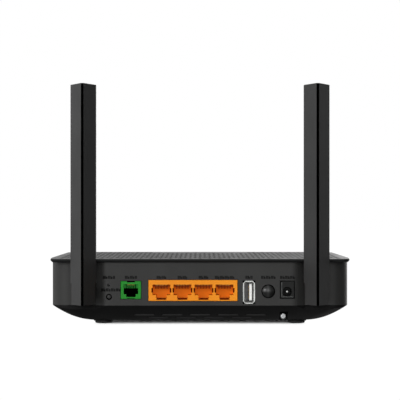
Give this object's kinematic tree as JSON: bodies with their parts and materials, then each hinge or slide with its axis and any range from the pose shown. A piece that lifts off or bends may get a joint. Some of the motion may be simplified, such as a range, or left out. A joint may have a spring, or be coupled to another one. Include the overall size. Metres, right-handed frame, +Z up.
{
  "type": "wireless gateway",
  "caption": "Low black desktop gateway with two folding blade antennas, modular network and phone sockets, USB and power inlets, push controls and a vented belly.",
  "frame": {"origin": "under the middle of the whole object's box, on the surface that the feet stand on", "axes": "+Z up; -Y towards the side with the sockets; +X to the right of somebody who faces the sockets"},
  "size_m": [0.2008, 0.15, 0.1599],
  "materials": {
    "casing_black": "fine moulded texture",
    "belly_black": "matt moulded texture",
    "foot_rubber": "matt",
    "label_grey": "blank printed film",
    "screw_steel": "bright zinc",
    "board_green": "solder mask",
    "lan_orange": "satin",
    "contact_gold": "gold plated",
    "phone_green": "satin",
    "chip_black": "matt",
    "socket_steel": "plated",
    "tongue_white": "satin",
    "socket_black": "satin",
    "key_black": "gloss",
    "pad_grey": "soft",
    "sink_aluminium": "satin",
    "shield_steel": "tinned",
    "lens_clear": "clear",
    "antenna_black": "fine moulded texture",
    "strip_gloss": "high gloss",
    "lead_black": "satin"
  },
  "bodies": {
    "housing": {"top_cover": "casing_black", "socket_panel": "casing_black", "wall_band": "casing_black", "bottom_shell": "belly_black", "rubber_feet": "foot_rubber", "rating_label": "label_grey", "case_screws": "screw_steel", "notch_screw": "screw_steel", "main_board": "board_green", "board_screws": "screw_steel", "lan_jack_block": "lan_orange", "lan_contacts": "contact_gold", "phone_jack": "phone_green", "phone_contacts": "contact_gold", "lan_magnetics": "chip_black", "usb_shell": "socket_steel", "usb_tongue": "tongue_white", "usb_contacts": "contact_gold", "power_jack": "socket_black", "power_jack_pin": "socket_steel", "power_switch": "socket_black", "wps_switch": "chip_black", "reset_switch": "chip_black", "button_board": "board_green", "processor": "chip_black", "thermal_pad": "pad_grey", "heat_sink": "sink_aluminium", "memory_chips": "chip_black", "phone_line_chip": "chip_black", "radio_shields": "shield_steel", "capacitors": "sink_aluminium", "inductors": "chip_black", "crystal": "shield_steel", "status_leds": "tongue_white", "light_pipe": "lens_clear", "antenna_connectors": "contact_gold", "left_antenna_lead": "lead_black", "right_antenna_lead": "lead_black"},
    "power_button": {"power_button": "key_black"},
    "wps_button": {"wps_button": "casing_black"},
    "reset_plunger": {"reset_plunger": "tongue_white"},
    "left_swivel": {"left_swivel": "antenna_black", "left_swivel_clip": "shield_steel"},
    "left_antenna": {"left_antenna_shell": "antenna_black", "left_antenna_strip": "strip_gloss", "left_antenna_back": "antenna_black", "left_antenna_element": "board_green", "left_antenna_tail": "lead_black", "left_hinge_pin": "screw_steel"},
    "right_swivel": {"right_swivel": "antenna_black", "right_swivel_clip": "shield_steel"},
    "right_antenna": {"right_antenna_shell": "antenna_black", "right_antenna_strip": "strip_gloss", "right_antenna_back": "antenna_black", "right_antenna_element": "board_green", "right_antenna_tail": "lead_black", "right_hinge_pin": "screw_steel"}
  },
  "joints": [
    {"name": "left_swivel_turn", "type": "hinge", "parent": "housing", "child": "left_swivel", "pos_m": [-0.0769, -0.0555, 0.0225], "axis": [0, 1, 0], "range_deg": [-90, 90]},
    {"name": "left_antenna_fold", "type": "hinge", "parent": "left_swivel", "child": "left_antenna", "pos_m": [-0.0769, -0.0665, 0.0225], "axis": [1, 0, 0], "range_deg": [0, 90]},
    {"name": "right_swivel_turn", "type": "hinge", "parent": "housing", "child": "right_swivel", "pos_m": [0.0769, -0.0555, 0.0225], "axis": [0, 1, 0], "range_deg": [-90, 90]},
    {"name": "right_antenna_fold", "type": "hinge", "parent": "right_swivel", "child": "right_antenna", "pos_m": [0.0769, -0.0665, 0.0225], "axis": [1, 0, 0], "range_deg": [0, 90]},
    {"name": "power_button_press", "type": "slide", "parent": "housing", "child": "power_button", "axis": [0, 1, 0], "range_m": [0, 0.002], "stiffness_N_per_m": 400, "springref_m": -0.002},
    {"name": "wps_button_press", "type": "slide", "parent": "housing", "child": "wps_button", "axis": [0, 1, 0], "range_m": [0, 0.0006], "stiffness_N_per_m": 800, "springref_m": -0.001},
    {"name": "reset_press", "type": "slide", "parent": "housing", "child": "reset_plunger", "axis": [0, 1, 0], "range_m": [0, 0.0004], "stiffness_N_per_m": 800, "springref_m": -0.001}
  ]
}
